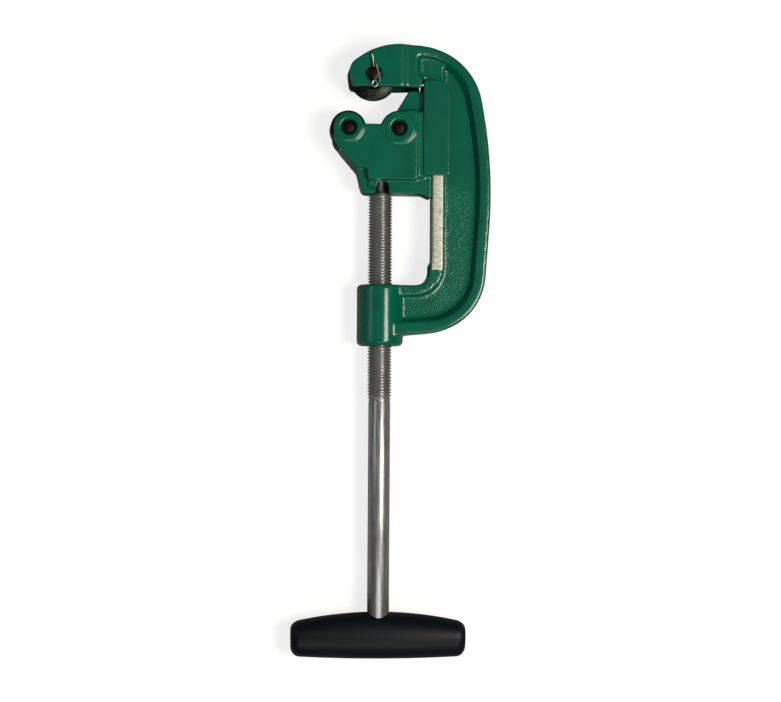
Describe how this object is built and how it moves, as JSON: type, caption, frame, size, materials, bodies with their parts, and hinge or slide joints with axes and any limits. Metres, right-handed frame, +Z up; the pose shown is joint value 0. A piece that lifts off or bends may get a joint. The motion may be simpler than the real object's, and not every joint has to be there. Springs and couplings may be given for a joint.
{
  "type": "pipe cutter",
  "caption": "Screw-feed pipe cutter: C-shaped cast frame with a forked hook and cutter wheel, a slide with guide rollers, a threaded spindle and a cross handle.",
  "frame": {"origin": "bottom centre of the whole tool's box, on the plane that the tool lies on", "axes": "+Y along the feed screw from the handle towards the hook, +Z up from the plane that the tool lies on, +X from the screw towards the frame's rail"},
  "size_m": [0.1296, 0.4038, 0.0381],
  "materials": {
    "enamelled_casting": "glossy green enamel over a sand casting",
    "tool_steel": "hardened, ground and darkened",
    "bright_steel": "bright drawn",
    "blackened_steel": "black oxide",
    "spring_steel": "oiled spring wire",
    "zinc_plated_steel": "zinc plated, satin",
    "black_plastic": "satin moulded plastic"
  },
  "bodies": {
    "frame_body": {"frame": "enamelled_casting", "cutter_axle": "bright_steel", "split_pin": "bright_steel"},
    "wheel_body": {"cutter_wheel": "tool_steel"},
    "slide_body": {"slide_block": "enamelled_casting", "roller_pin_left": "blackened_steel", "roller_pin_right": "blackened_steel", "retaining_ring_left_front": "spring_steel", "retaining_ring_left_rear": "spring_steel", "retaining_ring_right_front": "spring_steel", "retaining_ring_right_rear": "spring_steel", "screw_retaining_pin_left": "spring_steel", "screw_retaining_pin_right": "spring_steel", "thrust_ball": "bright_steel", "thrust_seat": "tool_steel"},
    "roller_left_body": {"roller_left": "blackened_steel"},
    "roller_right_body": {"roller_right": "blackened_steel"},
    "screw_body": {"feed_screw": "zinc_plated_steel", "handle_bar": "zinc_plated_steel", "handle": "black_plastic"}
  },
  "joints": [
    {"name": "wheel_turn", "type": "hinge", "parent": "frame_body", "child": "wheel_body", "pos_m": [-0.01278, 0.18151, 0.016], "axis": [0, 0, 1], "continuous": true},
    {"name": "slide_feed", "type": "slide", "parent": "frame_body", "child": "slide_body", "axis": [0, 1, 0], "range_m": [-0.0428, 0.0065]},
    {"name": "roller_left_turn", "type": "hinge", "parent": "slide_body", "child": "roller_left_body", "pos_m": [-0.02928, 0.14651, 0.016], "axis": [0, 0, 1], "continuous": true},
    {"name": "roller_right_turn", "type": "hinge", "parent": "slide_body", "child": "roller_right_body", "pos_m": [0.00372, 0.14651, 0.016], "axis": [0, 0, 1], "continuous": true},
    {"name": "screw_turn", "type": "hinge", "parent": "slide_body", "child": "screw_body", "pos_m": [-0.00728, 0, 0.016], "axis": [0, 1, 0], "range_deg": [-7704, 1170]}
  ],
  "couplings": [
    {"joint": "slide_feed", "follows": "screw_turn", "m_per_rad": 0.00031831}
  ]
}
